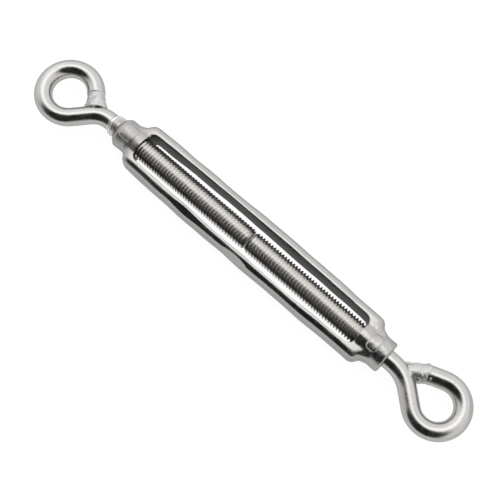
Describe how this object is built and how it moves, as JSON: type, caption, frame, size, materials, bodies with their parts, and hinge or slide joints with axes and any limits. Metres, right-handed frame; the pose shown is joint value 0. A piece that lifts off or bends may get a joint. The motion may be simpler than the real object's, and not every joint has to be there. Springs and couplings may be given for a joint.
{
  "type": "rigging turnbuckle",
  "caption": "Open-frame stainless rigging turnbuckle: opposed threaded eye bolts screw in and out of the slotted body to set a line's tension.",
  "frame": {"origin": "centre of the body, on the thread axis", "axes": "+X along the thread axis towards the right-hand threaded end, +Y across the body in the plane of the slot and the eyes, +Z normal to that plane"},
  "size_m": [0.2359, 0.031, 0.0146],
  "materials": {
    "cast_stainless_steel": "tumble-polished cast stainless steel, satin",
    "drawn_stainless_steel": "bright-drawn and polished stainless steel rod",
    "weld_metal": "rough stainless steel weld metal, lightly heat-tinted"
  },
  "bodies": {
    "frame": {"frame": "cast_stainless_steel"},
    "right_rod_tip": {"right_hand_rod_tip": "drawn_stainless_steel"},
    "right_eye_bolt": {"right_hand_eye_bolt": "drawn_stainless_steel", "right_hand_weld_bead": "weld_metal"},
    "left_rod_tip": {"left_hand_rod_tip": "drawn_stainless_steel"},
    "left_eye_bolt": {"left_hand_eye_bolt": "drawn_stainless_steel", "left_hand_weld_bead": "weld_metal"}
  },
  "joints": [
    {"name": "right_eye_bolt_travel", "type": "slide", "parent": "frame", "child": "right_rod_tip", "axis": [1, 0, 0], "range_m": [0, 0.0566]},
    {"name": "right_eye_bolt_turn", "type": "hinge", "parent": "right_rod_tip", "child": "right_eye_bolt", "pos_m": [0.068, 0, 0], "axis": [1, 0, 0], "range_deg": [0, 13590]},
    {"name": "left_eye_bolt_travel", "type": "slide", "parent": "frame", "child": "left_rod_tip", "axis": [-1, 0, 0], "range_m": [0, 0.0566]},
    {"name": "left_eye_bolt_turn", "type": "hinge", "parent": "left_rod_tip", "child": "left_eye_bolt", "pos_m": [-0.068, 0, 0], "axis": [1, 0, 0], "range_deg": [0, 13590]}
  ],
  "couplings": [
    {"joint": "right_eye_bolt_turn", "follows": "right_eye_bolt_travel", "rad_per_m": 4188.8},
    {"joint": "left_eye_bolt_turn", "follows": "left_eye_bolt_travel", "rad_per_m": 4188.8}
  ]
}
